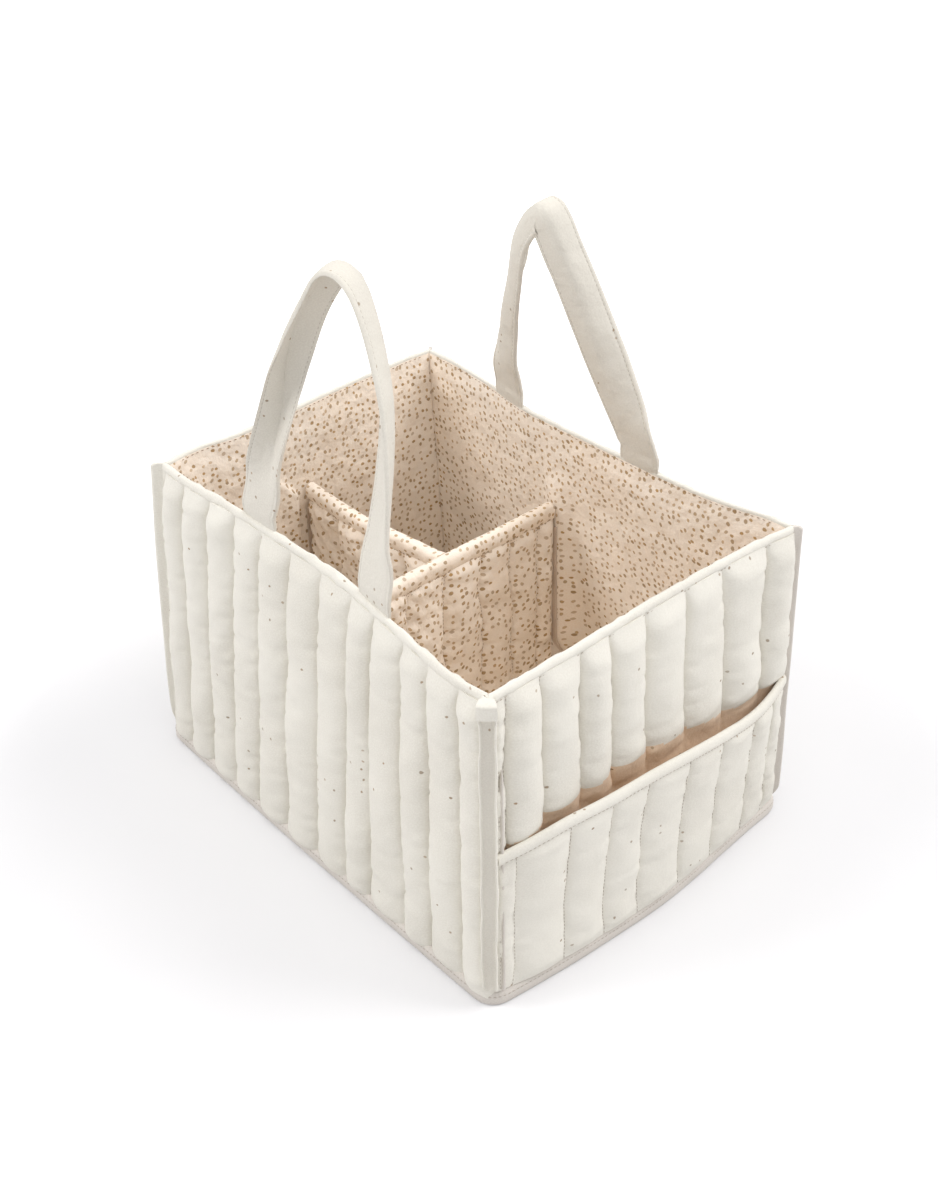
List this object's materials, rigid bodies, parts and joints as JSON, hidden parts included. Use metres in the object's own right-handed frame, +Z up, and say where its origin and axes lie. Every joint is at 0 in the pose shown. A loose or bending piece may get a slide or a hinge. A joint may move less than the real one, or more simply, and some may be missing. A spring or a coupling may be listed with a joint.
{
  "type": "diaper caddy",
  "caption": "Open quilted carrier with padded walls, strap handles, flat end pockets and a lift-out divider insert.",
  "frame": {"origin": "middle of the base, on the surface that the caddy stands on", "axes": "+X along the caddy towards the end with the pocket seen in the picture, +Y across it towards the back handle, +Z up"},
  "size_m": [0.3881, 0.28, 0.4139],
  "materials": {
    "outer_cotton": "matt woven cotton, off-white, with sparse small brown dots",
    "lining_cotton": "matt woven cotton, warm beige, with a dense small dot pattern",
    "board": "plain grey sheet",
    "fastening_tape": "hook and loop tape, off-white"
  },
  "bodies": {
    "caddy": {"front_wall_panel": "outer_cotton", "back_wall_panel": "outer_cotton", "left_wall_panel": "outer_cotton", "right_wall_panel": "outer_cotton", "front_wall_board": "board", "back_wall_board": "board", "left_wall_board": "board", "right_wall_board": "board", "front_lining": "lining_cotton", "back_lining": "lining_cotton", "left_lining": "lining_cotton", "right_lining": "lining_cotton", "front_rim_edge": "outer_cotton", "back_rim_edge": "outer_cotton", "left_rim_edge": "outer_cotton", "right_rim_edge": "outer_cotton", "front_handle_tail_left": "outer_cotton", "front_handle_tail_right": "outer_cotton", "back_handle_tail_left": "outer_cotton", "back_handle_tail_right": "outer_cotton", "front_left_corner_binding": "outer_cotton", "front_right_corner_binding": "outer_cotton", "back_left_corner_binding": "outer_cotton", "back_right_corner_binding": "outer_cotton", "base_cloth": "outer_cotton", "base_board": "board", "base_pad": "lining_cotton", "base_binding": "outer_cotton", "right_pocket_panel": "outer_cotton", "right_pocket_binding": "outer_cotton", "left_pocket_panel": "outer_cotton", "left_pocket_binding": "outer_cotton", "front_loop_tape": "fastening_tape", "back_loop_tape": "fastening_tape", "left_loop_tape": "fastening_tape"},
    "front_handle": {"front_handle": "outer_cotton"},
    "back_handle": {"back_handle": "outer_cotton"},
    "divider_insert": {"cross_divider": "lining_cotton", "cross_divider_band": "lining_cotton", "long_divider": "lining_cotton", "long_divider_band": "lining_cotton", "cross_divider_front_hook_tape": "fastening_tape", "cross_divider_back_hook_tape": "fastening_tape", "long_divider_left_hook_tape": "fastening_tape"}
  },
  "joints": [
    {"name": "front_handle_fold", "type": "hinge", "parent": "caddy", "child": "front_handle", "pos_m": [0, -0.11264, 0.24], "axis": [1, 0, 0], "range_deg": [-22, 144]},
    {"name": "back_handle_fold", "type": "hinge", "parent": "caddy", "child": "back_handle", "pos_m": [-0.012, 0.11366, 0.24], "axis": [-1, 0, 0], "range_deg": [-25, 144]},
    {"name": "insert_lift", "type": "slide", "parent": "caddy", "child": "divider_insert", "axis": [0, 0, 1], "range_m": [0, 0.14]}
  ]
}
